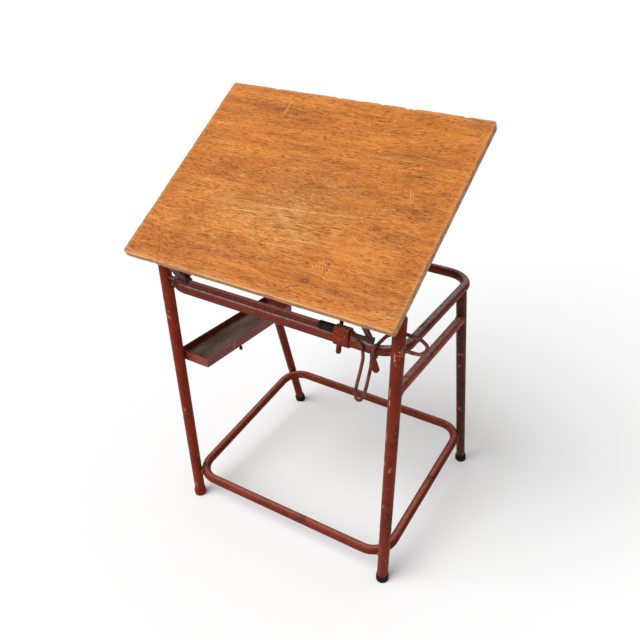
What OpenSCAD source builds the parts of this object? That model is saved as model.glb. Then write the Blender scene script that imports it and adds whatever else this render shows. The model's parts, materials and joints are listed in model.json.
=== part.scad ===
// Portable drawing board: a tilting wooden board on a four-legged tubular steel stand.
// Millimetres, +Z up. The front, where the user sits, faces -Y. The origin is on the
// floor, at the middle of the whole footprint.

/* [Board] */
// Width of the board
board_w = 693; // [640:1:720]
// Depth of the board along its slope
board_d = 533.7; // [480:0.1:560]
// Thickness of the board
board_t = 18; // [15:1:24]
// Tilt of the board in the stored pose, in degrees above horizontal
board_tilt = 32.4; // [10:0.1:60]
// How far the board's middle sits to the left of the stand's middle
board_offset = 21.3; // [0:0.1:26]
// Gap along the board's normal from the tilt axis to its underside
board_lift = 78; // [78:0.5:84]
// How far the board's front edge hangs below the foot of that normal
board_overhang = 13.7; // [8:0.1:20]
// Radius of the board's well kept corners
corner_small = 7; // [3:1:12]
// Radius of the board's worn back right corner
corner_worn = 10; // [8:1:30]

/* [Stand] */
// Distance between the left and right leg axes
leg_span = 617; // [600:1:640]
// Distance between the front and back leg axes on the floor
stance_depth = 547; // [530:1:560]
// How far the stand's middle lies behind the origin
stance_mid_y = 24; // [20:0.1:28]
// Outer diameter of the front legs
front_leg_d = 29; // [28:0.5:30]
// Outer diameter of the back legs
back_leg_d = 26; // [25:0.5:27]
// Height of the front leg tubes
front_leg_h = 790; // [780:1:792]
// Forward rake of the back legs, in degrees
leg_rake = 16.33; // [15:0.01:17]
// Wall thickness of every tube
tube_wall = 2; // [1.5:0.1:2.5]

/* [Loops] */
// Bend radius of the loops' corners
bend_r = 60; // [55:1:65]
// Outer diameter of the upper loop
upper_d = 23; // [22:0.5:23]
// Height of the upper loop's axis
upper_z = 699.5; // [699:0.1:700]
// Distance between the upper loop's front and back rail axes
upper_depth = 414.4; // [400:0.1:430]
// Outer diameter of the lower loop
lower_d = 25; // [24:0.5:26]
// Height of the lower loop at the front legs
lower_z = 84; // [70:1:100]
// Slope of the lower loop, in degrees, rising to the back
lower_tilt = 7.5; // [6:0.1:9]
// Outer diameter of the single side rail on the right
side_rail_d = 24; // [22:0.5:25]
// Height of that side rail
side_rail_z = 606.6; // [560:1:640]

/* [Tilt axis] */
// Height of the tilt axis
axis_z = 719.4; // [719.4:0.1:721]
// Outer diameter of the tilt tube
tilt_tube_d = 16; // [15:0.1:16]
// Diameter of the left pivot pin
pivot_d = 10; // [8:1:10]
// Diameter of the tilt shaft at the right
shaft_d = 9; // [8:0.5:9]
// Running clearance between a shaft and its bore, on the radius
run_fit = 0.05; // [0.02:0.01:0.1]

/* [Tray] */
// Outer width of the tray
tray_w = 96; // [80:1:100]
// Outer height of the tray
tray_h = 24; // [20:1:30]
// Height of the tray's rim at the front leg
tray_z = 501; // [480:1:520]
// Slope of the tray, in degrees, falling to the back
tray_tilt = 2.7; // [0:0.1:4]
// Thickness of the tray's sheet metal
sheet_t = 1.5; // [1:0.1:2]

/* [Release wire] */
// Diameter of the bent wire
wire_d = 7.6; // [6:0.1:7.8]
// Diameter of its journal in the right front leg
journal_d = 8; // [7:0.5:8]

/* [Hidden] */
$fn = 48;
overlap = 1;
colour_paint = [0.45, 0.17, 0.13];
colour_dark = [0.16, 0.1, 0.09];
colour_wood = [0.8, 0.5, 0.24];
colour_steel = [0.6, 0.58, 0.56];
colour_black = [0.06, 0.06, 0.06];

leg_x = leg_span / 2;
front_y = stance_mid_y - stance_depth / 2;
back_y = stance_mid_y + stance_depth / 2;

// Rounded values keep pieces that meet end to end exactly in line.
function hundredth(value) = round(100 * value) / 100;

// Corners of a loop nest against the inner side of a leg, and the weld bites in a little.
weld_bite = 0.25;
upper_reach = bend_r + (upper_d + front_leg_d) / 2 - weld_bite;
upper_inset = hundredth(upper_reach / sqrt(2) - bend_r);
upper_half_w = leg_x - upper_inset;
upper_front_y = front_y + upper_inset;

// The lower loop lies in a plane that slopes, so the legs cross it a little off square.
function slant(lean) = sqrt(1 + pow(tan(lean), 2) / 2);
lower_front_reach = bend_r + ((lower_d + front_leg_d) / 2 - weld_bite) * slant(lower_tilt);
lower_inset = hundredth(lower_front_reach / sqrt(2) - bend_r);
lower_half_w = leg_x - lower_inset;
lower_cross_z = (lower_z + stance_depth * tan(lower_tilt)) / (1 + tan(leg_rake) * tan(lower_tilt));
lower_cross_y = back_y - lower_cross_z * tan(leg_rake);
lower_back_reach = bend_r + ((lower_d + back_leg_d) / 2 - weld_bite) * slant(leg_rake - lower_tilt);
lower_back_inset = sqrt(pow(lower_back_reach, 2) - pow(bend_r + lower_inset, 2)) - bend_r;
lower_cross = (lower_cross_y - front_y) / cos(lower_tilt);
lower_depth = hundredth(lower_cross - lower_inset - lower_back_inset);

// Feet
foot_d = 33;
foot_h = 19;
foot_floor = 4;
foot_round = 3;

// The back legs stop just below the middle of the upper loop's side rails
back_leg_cut = upper_z - 5.5;

// Plugs in the front leg tubes. The flat board comes down to just above them.
plug_top = axis_z + board_lift - 0.4;
plug_spigot = 18;
plug_rise = plug_top - front_leg_h;
plug_dome_r = (pow(front_leg_d / 2, 2) + pow(plug_rise, 2)) / (2 * plug_rise);

// Places along the tilt axis
pin_end = -240;
tube_left = -276;
tube_right = 199;
sleeve_left = 123.5;
block_left = 163;
shaft_root = 150;
shaft_right = 252;
sleeve_d = 19.5;
rail_at = [upper_front_y - front_y, upper_z - axis_z];

// Stop peg: a stud with a thicker round-ended peg below, leaning forward
peg_x = 162.5;
peg_lean = 10.66;
peg_at = [21, -11.4];
stud_d = 9;
peg_d = 12;
stud_top = 21.5;
peg_shoulder = -22;
peg_end = -57;
ear_w = 24;
ear_d = 22;
ear_t = 10;
washer_d = 16;
washer_t = 1.6;

// Arms under the board
bar_t = 6;
arm_len = 430;
arm_left_x = -262;
arm_left_w = 27;
arm_right_x = 239.5;
arm_right_w = 12.5;
lug_d = 15;
crossbar_at = 400;
crossbar_w = 25;
screw_rows = [45, 215, 385];
screw_d = 4;
screw_bite = 12;
screw_head_d = 9;
screw_head_h = 3;

// Thumb paddle under the front rail
paddle_x = 250;
paddle_w = 7;
paddle_pin = [5.5, -39.4];
paddle_pin_d = 6;
pin_head_d = 8;
pin_head_gap = 1;
paddle_hub_d = 11;
paddle_reach = 32;
paddle_drift = 4;
paddle_neck_r = 3.5;
paddle_neck_h = 10;
paddle_tip_r = 8;
paddle_t = 5;
lug_x = 245.5;
lug_t = 3.5;

// Route of the bent wire from the tilt axis: x, depth and height from that axis.
// It leaves the leg, turns back behind it, crosses to the front of the rail, hangs down
// in a U, comes up again and ends in an eye around the tilt shaft.
wire_route = [
  [343, 0, 0], [356, 2, 0], [364.4, 12, 5], [363.4, 19, 13], [349.5, 19, 22.5],
  [331, 19.5, 24.5], [312, 19.5, 25.5], [292, 19.5, 20], [273, 17.5, 9.6], [265, 0, -1],
  [259, -15.5, -11], [258, -16, -31], [257, -17, -54], [255, -21, -76], [253, -26, -100],
  [250, -31, -122], [244, -34, -134], [234, -34, -134], [229, -31, -122], [231, -26, -98],
  [234, -20, -72], [237, -16.5, -46], [238, -16, -34], [236, -16, -20], [230, -14, -6],
  [218, -11.5, 1], [208, -10.5, 1], [203, -7, 0.5]
];
wire_sides = 10;
wire_soft = 5;
wire_steps = 3;
journal_left = 304;
journal_right = 345;
eye_left = 200;
eye_w = 6.5;
eye_d = 16;
cross_bore_r = journal_d / 2 + run_fit;

// ---- Shared shapes ----

// A cylinder along X from one x to another
module rod_x(x0, x1, d) {
  translate([x0, 0, 0])
    rotate([0, 90, 0])
      cylinder(h = x1 - x0, d = d);
}

// Children in the frame of the tilt axis, level
module at_axis() {
  translate([0, front_y, axis_z])
    children();
}

// Children in the frame of the tilt axis, tilted with the board: +Y up the slope
module at_tilt() {
  at_axis()
    rotate([board_tilt, 0, 0])
      children();
}

// Children with +Z along a leg's axis, from the floor up. side is -1 or 1.
module front_leg_frame(side) {
  translate([side * leg_x, front_y, 0])
    children();
}

module back_leg_frame(side) {
  translate([side * leg_x, back_y, 0])
    rotate([leg_rake, 0, 0])
      children();
}

module front_legs_solid() {
  for (side = [-1, 1])
    front_leg_frame(side)
      cylinder(h = front_leg_h, d = front_leg_d);
}

module back_legs_solid() {
  for (side = [-1, 1])
    back_leg_frame(side)
      cylinder(h = 800, d = back_leg_d);
}

// A solid U of tube: a rail at y = 0, two bends, and two arms that run back to y = reach
module u_solid(half_w, reach, d) {
  for (side = [-1, 1])
    translate([side * half_w, bend_r, 0])
      rotate([-90, 0, 0])
        cylinder(h = reach - bend_r, d = d);
  rod_x(bend_r - half_w, half_w - bend_r, d);
  for (side = [-1, 1])
    translate([side * (half_w - bend_r), bend_r, 0])
      rotate([0, 0, side > 0 ? 270 : 180])
        rotate_extrude(angle = 90)
          translate([bend_r, 0])
            circle(d = d);
}

module u_tube(half_w, reach, d) {
  difference() {
    u_solid(half_w, reach, d);
    u_solid(half_w, reach + overlap, d - 2 * tube_wall);
  }
}

// The back half of a loop faces the front half and meets it end to end
module loop_half(half_w, depth, d, back) {
  if (back)
    translate([0, depth, 0])
      mirror([0, 1, 0])
        u_tube(half_w, depth / 2, d);
  else
    u_tube(half_w, depth / 2, d);
}

module upper_frame() {
  translate([0, upper_front_y, upper_z])
    children();
}

// The front half of the upper loop without its bore, to shape what sits on it
module upper_rail_cutter() {
  upper_frame()
    u_solid(upper_half_w, upper_depth / 2, upper_d);
}

// ---- Stand ----

module leg_front(side) {
  color(colour_paint)
    difference() {
      front_leg_frame(side)
        translate([0, 0, foot_floor])
          cylinder(h = front_leg_h - foot_floor, d = front_leg_d);
      front_leg_frame(side)
        cylinder(h = front_leg_h + overlap, d = front_leg_d - 2 * tube_wall);
      if (side > 0)
        at_axis()
          rod_x(leg_x, leg_x + front_leg_d, 2 * cross_bore_r);
    }
}

module leg_back(side) {
  color(colour_paint)
    difference() {
      back_leg_frame(side)
        translate([0, 0, foot_floor])
          cylinder(h = 760, d = back_leg_d);
      back_leg_frame(side)
        cylinder(h = 800, d = back_leg_d - 2 * tube_wall);
      translate([side * upper_half_w, 0, upper_z])
        rotate([-90, 0, 0])
          cylinder(h = 200, d = upper_d);
      translate([side * leg_x - 50, 0, back_leg_cut])
        cube([100, 200, 100]);
    }
}

// A rubber cap with a rounded lower edge and a socket for the leg
module foot_profile() {
  difference() {
    translate([0, -foot_d / 2])
      square([foot_d / 2, foot_h + foot_d / 2]);
    translate([foot_d / 2 - foot_round, -foot_d])
      square([foot_round + overlap, foot_d + foot_round]);
  }
  translate([foot_d / 2 - foot_round, foot_round])
    circle(r = foot_round);
}

module foot_cap(leg_d) {
  difference() {
    rotate_extrude()
      foot_profile();
    translate([0, 0, foot_floor])
      cylinder(h = foot_h, d = leg_d);
  }
}

module foot_front(side) {
  color(colour_black)
    difference() {
      front_leg_frame(side)
        foot_cap(front_leg_d);
      translate([side * leg_x - 50, front_y - 50, -100])
        cube([100, 100, 100]);
    }
}

module foot_back(side) {
  color(colour_black)
    difference() {
      back_leg_frame(side)
        foot_cap(back_leg_d);
      translate([side * leg_x - 50, back_y - 50, -100])
        cube([100, 100, 100]);
    }
}

// A domed plug in the top of a front leg
module plug(side) {
  color(colour_black)
    front_leg_frame(side)
      translate([0, 0, front_leg_h]) {
        translate([0, 0, -plug_spigot])
          cylinder(h = plug_spigot, d = front_leg_d - 2 * tube_wall);
        intersection() {
          cylinder(h = plug_rise + overlap, d = front_leg_d);
          translate([0, 0, plug_rise - plug_dome_r])
            sphere(r = plug_dome_r);
        }
      }
}

module upper_loop(back) {
  color(colour_paint)
    upper_frame()
      loop_half(upper_half_w, upper_depth, upper_d, back);
}

module lower_loop(back) {
  color(colour_paint)
    translate([0, front_y, lower_z])
      rotate([lower_tilt, 0, 0])
        translate([0, lower_inset, 0])
          loop_half(lower_half_w, lower_depth, lower_d, back);
}

// A single rail between the two right legs, its ends shaped to fit them
module side_rail_right() {
  color(colour_paint)
    difference() {
      translate([leg_x, front_y, side_rail_z])
        rotate([-90, 0, 0])
          difference() {
            cylinder(h = back_y - front_y - side_rail_z * tan(leg_rake), d = side_rail_d);
            translate([0, 0, -overlap])
              cylinder(h = stance_depth, d = side_rail_d - 2 * tube_wall);
          }
      front_leg_frame(1)
        cylinder(h = front_leg_h, d = front_leg_d);
      back_leg_frame(1)
        cylinder(h = 800, d = back_leg_d);
    }
}

// ---- Tray ----

tray_left_x = -320;
tray_front_y = front_y + front_leg_d / 2 - 0.3;
tray_back_y = back_y - 488 * tan(leg_rake) - back_leg_d / 2 / cos(leg_rake) + 1.6;
tray_len = (tray_back_y - tray_front_y) / cos(tray_tilt);
tray_floor_edge = 17;
tray_crease_x = 52;
tray_crease_drop = 22;

module tray_frame() {
  translate([tray_left_x, tray_front_y, tray_z])
    rotate([-tray_tilt, 0, 0])
      children();
}

// Cross-section of the floor: two sloping panels that meet in a crease
module tray_floor_profile() {
  polygon([
    [0, -tray_floor_edge], [tray_crease_x, -tray_crease_drop], [tray_w, -tray_floor_edge],
    [tray_w, -tray_floor_edge - sheet_t], [tray_crease_x, -tray_crease_drop - sheet_t],
    [0, -tray_floor_edge - sheet_t]
  ]);
}

module tray() {
  color(colour_paint)
    difference() {
      tray_frame() {
        for (x = [0, tray_w - sheet_t])
          translate([x, 0, -tray_h])
            cube([sheet_t, tray_len, tray_h]);
        for (y = [0, tray_len - sheet_t])
          translate([0, y, -tray_h])
            cube([tray_w, sheet_t, tray_h]);
        translate([0, tray_len, 0])
          rotate([90, 0, 0])
            linear_extrude(height = tray_len)
              tray_floor_profile();
      }
      front_legs_solid();
      back_legs_solid();
    }
}

// A small bumper on the lower edge of the tray's right wall
knob_d = 9;
knob_h = 7;
knob_stem_d = 4;
knob_stem_h = 4;
knob_along = 135;

module tray_knob() {
  color(colour_black)
    tray_frame()
      translate([tray_w - sheet_t / 2, knob_along, -tray_h - knob_stem_h - knob_h]) {
        cylinder(h = knob_h, d = knob_d);
        translate([0, 0, knob_h])
          cylinder(h = knob_stem_h, d = knob_stem_d);
      }
}

// ---- Fixed parts on the tilt axis ----

module pivot_pin_left() {
  color(colour_steel)
    difference() {
      at_axis()
        rod_x(-leg_x, pin_end, pivot_d);
      front_legs_solid();
    }
}

module bearing_sleeve() {
  color(colour_black)
    difference() {
      at_axis()
        rod_x(sleeve_left, block_left, sleeve_d);
      at_axis()
        rod_x(sleeve_left - overlap, block_left + overlap, tilt_tube_d + 2 * run_fit);
      upper_rail_cutter();
    }
}

// Children in the frame of the stop peg: +Z along the peg, origin inside the ear
module peg_frame() {
  at_axis()
    translate([peg_x, peg_at[0], peg_at[1]])
      rotate([-peg_lean, 0, 0])
        children();
}

// Outline of the clip that wraps the tube and the front of the rail: depth and height
// from the tilt axis. The two inner points lie inside the rail.
clip_outline = [
  [-7, 11], [7, 11], [11, 7], [14, -14], [14, -19.4], [5, -19.4],
  [2.5, -25], [2.5, -33.5], [-6.5, -33], [-12.5, -28], [-14.3, -20], [-11, 7]
];

module clip_frame() {
  at_axis()
    translate([block_left, 0, 0])
      rotate([90, 0, 90])
        children();
}

module brake_block() {
  color(colour_paint)
    clip_frame()
      linear_extrude(height = tube_right - block_left)
        difference() {
          polygon(clip_outline);
          circle(d = tilt_tube_d + 2 * run_fit);
          translate(rail_at)
            circle(d = upper_d);
        }
}

// A block behind the clip that holds the stop peg
module peg_bracket() {
  color(colour_paint)
    difference() {
      peg_frame()
        translate([-ear_w / 2, -ear_d / 2, -ear_t / 2])
          cube([ear_w, ear_d, ear_t]);
      clip_frame()
        linear_extrude(height = tube_right - block_left)
          polygon(clip_outline);
      upper_rail_cutter();
      peg_frame()
        translate([0, 0, -ear_t])
          cylinder(h = 2 * ear_t, d = stud_d);
    }
}

module stop_peg() {
  peg_len = peg_shoulder - peg_end;
  color(colour_paint)
    peg_frame() {
      translate([0, 0, peg_shoulder])
        cylinder(h = stud_top - peg_shoulder, d = stud_d);
      translate([0, 0, peg_end])
        rotate_extrude() {
          translate([0, peg_d / 2])
            square([peg_d / 2, peg_len - peg_d / 2]);
          intersection() {
            translate([0, peg_d / 2])
              circle(r = peg_d / 2);
            square([peg_d / 2, peg_d / 2]);
          }
        }
    }
}

module peg_washer() {
  color(colour_steel)
    peg_frame()
      translate([0, 0, ear_t / 2])
        difference() {
          cylinder(h = washer_t, d = washer_d);
          translate([0, 0, -overlap])
            cylinder(h = washer_t + 2 * overlap, d = stud_d);
        }
}

module paddle_pin_frame() {
  at_axis()
    translate([0, paddle_pin[0], paddle_pin[1]])
      children();
}

module lever_lug() {
  color(colour_paint)
    difference() {
      paddle_pin_frame() {
        rod_x(lug_x, lug_x + lug_t, 12);
        translate([lug_x, -6, 0])
          cube([lug_t, 12, 14]);
      }
      paddle_pin_frame()
        rod_x(lug_x - overlap, lug_x + lug_t + overlap, paddle_pin_d);
      upper_rail_cutter();
    }
}

module lever_pin() {
  color(colour_steel)
    paddle_pin_frame() {
      rod_x(lug_x, paddle_x + paddle_w + pin_head_gap, paddle_pin_d);
      rod_x(paddle_x + paddle_w + pin_head_gap, paddle_x + paddle_w + pin_head_gap + 2, pin_head_d);
    }
}

// ---- Tilting parts ----

// One corner of the board left square outside its rounding
module corner_cutter(r) {
  difference() {
    translate([-overlap, -overlap])
      square([r + overlap, r + overlap]);
    translate([r, r])
      circle(r = r);
  }
}

module board_outline() {
  difference() {
    square([board_w, board_d]);
    corner_cutter(corner_small);
    translate([board_w, 0])
      mirror([1, 0])
        corner_cutter(corner_small);
    translate([0, board_d])
      mirror([0, 1])
        corner_cutter(corner_small);
    translate([board_w, board_d])
      mirror([1, 0])
        mirror([0, 1])
          corner_cutter(corner_worn);
  }
}

module screw_places() {
  for (x = [arm_left_x + arm_left_w / 2, arm_right_x + arm_right_w / 2], s = screw_rows)
    translate([x, s, board_lift])
      children();
}

module board() {
  color(colour_wood)
    at_tilt()
      difference() {
        translate([-board_w / 2 - board_offset, -board_overhang, board_lift])
          linear_extrude(height = board_t)
            board_outline();
        screw_places()
          translate([0, 0, -overlap])
            cylinder(h = screw_bite + overlap, d = screw_d);
      }
}

module tilt_tube() {
  color(colour_paint)
    at_axis()
      difference() {
        rod_x(tube_left, tube_right, tilt_tube_d);
        rod_x(tube_left - overlap, tube_right + overlap, pivot_d + 2 * run_fit);
      }
}

// The shaft has a thicker root that is pressed into the tube
module tilt_shaft() {
  color(colour_dark)
    at_axis() {
      rod_x(shaft_root, tube_right, pivot_d + 2 * run_fit);
      rod_x(tube_right, shaft_right, shaft_d);
    }
}

// Side outline of an arm: a web up to the board, then a long bar under it
module arm_profile() {
  translate([-bar_t / 2, 0])
    square([bar_t, board_lift]);
  translate([-bar_t / 2, board_lift - bar_t])
    square([arm_len, bar_t]);
  polygon([[0, board_lift - 30], [30, board_lift - bar_t / 2], [0, board_lift - bar_t / 2]]);
}

module arm_web(x, w) {
  translate([x, 0, 0])
    rotate([90, 0, 90])
      linear_extrude(height = w)
        arm_profile();
}

module screw_clearance() {
  screw_places()
    translate([0, 0, -bar_t - overlap])
      cylinder(h = bar_t + 2 * overlap, d = screw_d);
}

module arm_left() {
  color(colour_dark)
    at_tilt()
      difference() {
        union() {
          arm_web(arm_left_x, arm_left_w);
          translate([arm_left_x, -6, -2])
            cube([arm_left_w, 18, 14]);
        }
        rod_x(arm_left_x - overlap, arm_left_x + arm_left_w + overlap, tilt_tube_d);
        translate([arm_left_x - overlap, -20, -20])
          cube([arm_left_w + 2 * overlap, 20, 25.3]);
        screw_clearance();
      }
}

module arm_right() {
  color(colour_dark)
    at_tilt()
      difference() {
        union() {
          arm_web(arm_right_x, arm_right_w);
          rod_x(arm_right_x, arm_right_x + arm_right_w, lug_d);
        }
        rod_x(arm_right_x - overlap, arm_right_x + arm_right_w + overlap, shaft_d);
        screw_clearance();
      }
}

module rear_crossbar() {
  left = arm_left_x + arm_left_w;
  color(colour_dark)
    at_tilt()
      translate([left, crossbar_at, board_lift - bar_t])
        cube([arm_right_x - left, crossbar_w, bar_t]);
}

module board_screws() {
  color(colour_steel)
    at_tilt()
      screw_places() {
        translate([0, 0, -bar_t])
          cylinder(h = bar_t + screw_bite, d = screw_d);
        translate([0, 0, -bar_t - screw_head_h])
          cylinder(h = screw_head_h, d = screw_head_d);
      }
}

// ---- Release wire ----

function unit(v) = v / norm(v);

// A route with each inner corner replaced by a short curve
function softened(route) = [
  route[0],
  for (i = [1 : len(route) - 2])
    let (
      before = route[i - 1] - route[i],
      after = route[i + 1] - route[i],
      a = route[i] + unit(before) * min(wire_soft, 0.45 * norm(before)),
      b = route[i] + unit(after) * min(wire_soft, 0.45 * norm(after))
    )
      for (k = [0 : wire_steps])
        let (t = k / wire_steps)
          (1 - t) * (1 - t) * a + 2 * t * (1 - t) * route[i] + t * t * b,
  route[len(route) - 1]
];

function headings(path) = [
  for (i = [0 : len(path) - 1])
    unit(path[min(i + 1, len(path) - 1)] - path[max(i - 1, 0)])
];

// Carries one side direction along the path without twisting it
function carried(heading, side, i = 0) =
  i == len(heading) ? [] :
  let (next = unit(side - (side * heading[i]) * heading[i]))
    concat([next], carried(heading, next, i + 1));

function rings(path, heading, side, d) = [
  for (i = [0 : len(path) - 1], k = [0 : wire_sides - 1])
    let (turn = 360 * k / wire_sides, across = cross(heading[i], side[i]))
      path[i] + d / 2 * (cos(turn) * side[i] + sin(turn) * across)
];

function ring_faces(count) = [
  for (i = [0 : count - 2], k = [0 : wire_sides - 1])
    let (a = i * wire_sides + k, b = i * wire_sides + (k + 1) % wire_sides)
      [a, a + wire_sides, b + wire_sides, b]
];

module bent_wire(route, d) {
  path = softened(route);
  heading = headings(path);
  side = carried(heading, [0, 0, 1]);
  last = (len(path) - 1) * wire_sides;
  caps = [
    [for (k = [0 : wire_sides - 1]) k],
    [for (k = [wire_sides - 1 : -1 : 0]) last + k]
  ];
  polyhedron(
    points = rings(path, heading, side, d),
    faces = concat(ring_faces(len(path)), caps),
    convexity = 8
  );
}

module release_wire() {
  color(colour_dark)
    at_axis()
      difference() {
        union() {
          bent_wire(wire_route, wire_d);
          rod_x(journal_left, journal_right, journal_d);
          rod_x(eye_left, eye_left + eye_w, eye_d);
        }
        rod_x(eye_left - overlap, eye_left + 2 * eye_w, shaft_d + 2 * run_fit);
      }
}

// ---- Paddle lever ----

// Outline of the blade: a straight neck that widens to a round tip
module paddle_profile() {
  top = [paddle_x + paddle_w / 2, 0];
  neck = top - [0, paddle_neck_h];
  tip = top + [paddle_drift, -paddle_reach];
  along = unit(tip - neck);
  across = [-along[1], along[0]];
  translate(neck - [paddle_neck_r, 0])
    square([2 * paddle_neck_r, paddle_neck_h]);
  translate(neck)
    circle(r = paddle_neck_r);
  translate(tip)
    circle(r = paddle_tip_r);
  polygon([
    neck + paddle_neck_r * across, tip + paddle_tip_r * across,
    tip - paddle_tip_r * across, neck - paddle_neck_r * across
  ]);
}

module paddle_lever() {
  color(colour_paint)
    paddle_pin_frame()
      difference() {
        union() {
          rod_x(paddle_x, paddle_x + paddle_w, paddle_hub_d);
          translate([0, paddle_t / 2, 0])
            rotate([90, 0, 0])
              linear_extrude(height = paddle_t)
                paddle_profile();
        }
        rod_x(paddle_x - 10, paddle_x + paddle_w + 10, paddle_pin_d + 2 * run_fit);
      }
}

leg_front(-1);  // leg_front_left
leg_front(1);  // leg_front_right
leg_back(-1);  // leg_back_left
leg_back(1);  // leg_back_right
foot_front(-1);  // foot_front_left
foot_front(1);  // foot_front_right
foot_back(-1);  // foot_back_left
foot_back(1);  // foot_back_right
plug(-1);  // plug_left
plug(1);  // plug_right
upper_loop(false);  // upper_loop_front
upper_loop(true);  // upper_loop_back
lower_loop(false);  // lower_loop_front
lower_loop(true);  // lower_loop_back
side_rail_right();
tray();
tray_knob();
pivot_pin_left();
bearing_sleeve();
brake_block();
peg_bracket();
stop_peg();
peg_washer();
lever_lug();
lever_pin();
board();
tilt_tube();
tilt_shaft();
arm_left();
arm_right();
rear_crossbar();
board_screws();
release_wire();
paddle_lever();
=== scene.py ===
"""Looks of the portable drawing board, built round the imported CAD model.

Metres, in the row frame: +Z up, the front faces -Y, the origin on the floor.
The CAD nodes keep their shapes and get procedural materials. The board and the bent
wire are replaced by finer meshes, and the weld beads are added. Colours are linear RGB.
"""
import json
import math
import random

import bmesh
import bpy
from mathutils import Matrix, Vector, noise


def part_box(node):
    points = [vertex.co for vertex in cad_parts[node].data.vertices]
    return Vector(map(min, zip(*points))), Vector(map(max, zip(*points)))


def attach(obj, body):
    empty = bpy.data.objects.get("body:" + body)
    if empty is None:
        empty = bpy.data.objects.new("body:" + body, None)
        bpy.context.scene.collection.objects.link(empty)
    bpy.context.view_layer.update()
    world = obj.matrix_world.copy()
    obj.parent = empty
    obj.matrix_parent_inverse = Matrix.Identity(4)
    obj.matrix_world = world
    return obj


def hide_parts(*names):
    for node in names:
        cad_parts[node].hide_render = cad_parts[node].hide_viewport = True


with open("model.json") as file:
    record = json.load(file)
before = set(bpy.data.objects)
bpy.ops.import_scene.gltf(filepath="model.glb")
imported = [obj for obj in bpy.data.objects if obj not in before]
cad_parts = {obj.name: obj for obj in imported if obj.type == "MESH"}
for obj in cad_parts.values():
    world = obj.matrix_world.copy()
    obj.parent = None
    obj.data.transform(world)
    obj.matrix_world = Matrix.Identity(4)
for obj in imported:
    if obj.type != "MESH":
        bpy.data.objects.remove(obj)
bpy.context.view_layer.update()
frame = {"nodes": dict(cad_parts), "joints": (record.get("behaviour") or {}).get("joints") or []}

nodes = frame["nodes"]
scene = bpy.context.scene
MM = 0.001

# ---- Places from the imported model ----

tilt_joint = next(joint for joint in frame["joints"] if joint["name"] == "board_tilt")
AXIS = Vector(tilt_joint["pos_m"])
# The joint's lower limit lays the board level, so that is also its slope at rest.
TILT = math.radians(-tilt_joint["range_deg"][0])
leg_low, leg_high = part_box("leg_front_right")
LEG_X = (leg_low.x + leg_high.x) / 2
LEG_Y = (leg_low.y + leg_high.y) / 2
FRONT_LEG_R = (leg_high.x - leg_low.x) / 2
back_low, back_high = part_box("leg_back_right")
BACK_LEG_R = (back_high.x - back_low.x) / 2

# ---- Camera ----

# The photo's view: place, then angles in radians, lens and sensor in mm, and the shift
CAMERA_AT = Vector((0.764, -1.2601, 1.4243))
CAMERA_AZIMUTH = 0.51127
CAMERA_ELEVATION = 0.617
CAMERA_ROLL = 0.01972
CAMERA_LENS = 36.74
CAMERA_SENSOR = 36.0
CAMERA_SHIFT = (-0.0456, 0.0932)


def make_camera():
    data = bpy.data.cameras.new("camera")
    data.lens = CAMERA_LENS
    data.sensor_width = CAMERA_SENSOR
    data.shift_x, data.shift_y = CAMERA_SHIFT
    camera = bpy.data.objects.new("camera", data)
    scene.collection.objects.link(camera)
    turn, rise = CAMERA_AZIMUTH, CAMERA_ELEVATION
    right = Vector((math.cos(turn), math.sin(turn), 0.0))
    ahead = Vector((-math.sin(turn) * math.cos(rise), math.cos(turn) * math.cos(rise),
                    -math.sin(rise)))
    up = right.cross(ahead)
    side = math.cos(CAMERA_ROLL) * right + math.sin(CAMERA_ROLL) * up
    top = -math.sin(CAMERA_ROLL) * right + math.cos(CAMERA_ROLL) * up
    axes = Matrix((side, top, -ahead)).transposed().to_4x4()
    camera.matrix_world = Matrix.Translation(CAMERA_AT) @ axes
    scene.camera = camera


# ---- Shader building ----


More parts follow.
